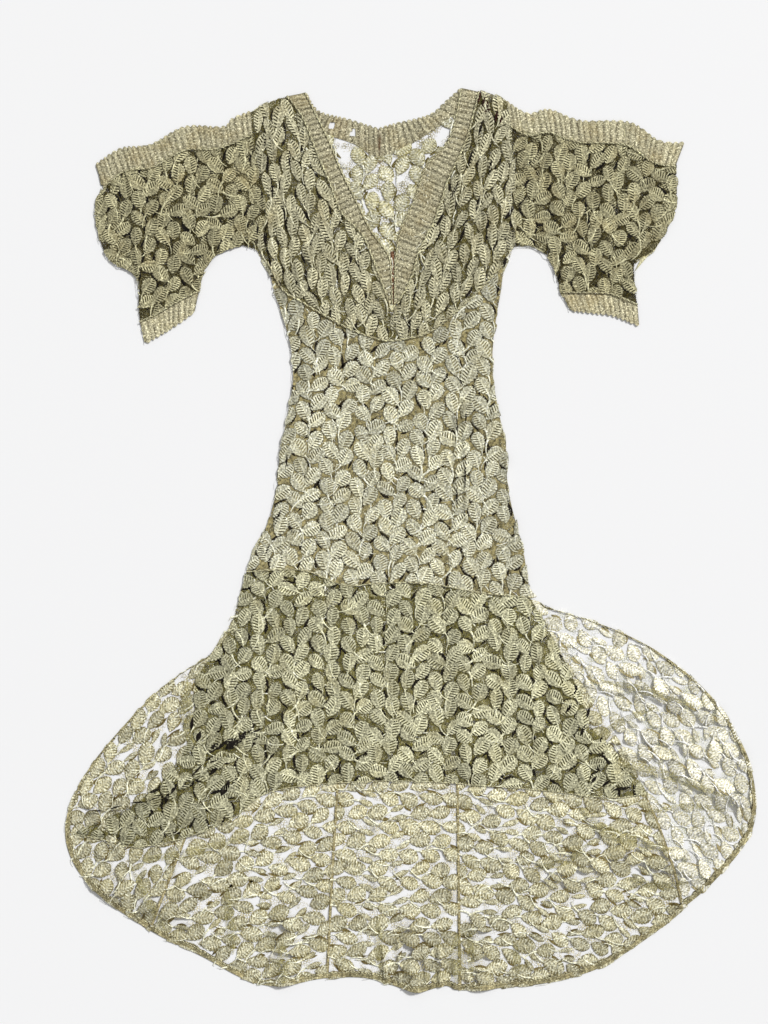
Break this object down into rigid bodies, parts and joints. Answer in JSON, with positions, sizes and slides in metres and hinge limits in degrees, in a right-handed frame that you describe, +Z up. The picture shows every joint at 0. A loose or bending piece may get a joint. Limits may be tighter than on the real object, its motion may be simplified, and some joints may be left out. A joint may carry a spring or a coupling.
{
  "type": "lace dress",
  "caption": "Long leaf-lace gown laid flat: deep V neck with ribbed edging, short split sleeves, front flounce and fan-shaped train.",
  "frame": {"origin": "middle of the gown's outline on the surface it lies on", "axes": "+X to the right across the gown seen from above, +Y from the train to the neck, +Z up from the surface; the gown's front faces +Z"},
  "size_m": [1.2401, 1.625, 0.0142],
  "materials": {
    "leaf_lace": "matte corded leaf lace, two layers deep",
    "train_lace": "matte corded leaf lace, one layer, see-through",
    "ribbed_edging": "matte corded edging in ribs",
    "turned_hem": "matte turned hem"
  },
  "bodies": {
    "root": {"back_body": "leaf_lace", "back_neck_band_left": "ribbed_edging", "back_neck_band_right": "ribbed_edging", "front_bodice_left": "leaf_lace", "front_bodice_right": "leaf_lace", "front_midriff": "leaf_lace", "front_flounce": "leaf_lace", "neck_band_left": "ribbed_edging", "neck_band_right": "ribbed_edging", "sleeve_front_left": "leaf_lace", "sleeve_back_left": "leaf_lace", "sleeve_top_band_left": "ribbed_edging", "cuff_band_left": "ribbed_edging", "sleeve_front_right": "leaf_lace", "sleeve_back_right": "leaf_lace", "sleeve_top_band_right": "ribbed_edging", "cuff_band_right": "ribbed_edging", "side_gore_left": "train_lace", "back_gore_left": "train_lace", "back_gore_centre": "train_lace", "back_gore_right": "train_lace", "side_gore_right": "train_lace", "train_hem": "turned_hem"}
  },
  "joints": []
}
